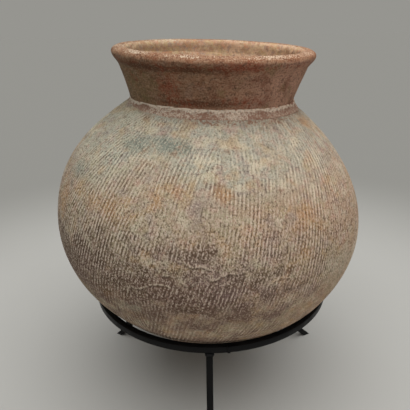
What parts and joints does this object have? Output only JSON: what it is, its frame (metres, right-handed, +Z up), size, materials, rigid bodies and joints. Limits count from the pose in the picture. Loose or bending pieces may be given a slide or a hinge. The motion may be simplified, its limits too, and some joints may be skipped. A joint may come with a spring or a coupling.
{
  "type": "pottery vase",
  "caption": "Round-bottomed earthenware vase with a flared neck, rolled lip and cord-marked body, standing in a black tripod ring stand of square steel bar.",
  "frame": {"origin": "on the floor under the middle of the vase's belly, which is the middle of the object's box seen from above", "axes": "+Z up, -Y towards the front leg, +X to the right seen from the front"},
  "size_m": [0.2997, 0.2998, 0.3741],
  "materials": {
    "cord_marked_clay": "dry, unglazed, cord-marked and mottled with age",
    "neck_clay": "dry, smoothed, brown",
    "lip_clay": "dry, smoothed, worn",
    "seam_clay": "dry, wiped",
    "black_paint": "satin black paint on steel"
  },
  "bodies": {
    "stand": {"stand_ring": "black_paint", "ring_closing_weld": "black_paint", "leg_front": "black_paint", "leg_rear_right": "black_paint", "leg_rear_left": "black_paint", "weld_front": "black_paint", "weld_rear_right": "black_paint", "weld_rear_left": "black_paint"},
    "vase": {"vase_body": "cord_marked_clay", "vase_neck": "neck_clay", "rim_lip": "lip_clay", "neck_seam": "seam_clay"}
  },
  "joints": [
    {"name": "vase_lift", "type": "slide", "parent": "stand", "child": "vase", "axis": [0, 0, 1], "range_m": [0, 0.06]}
  ]
}
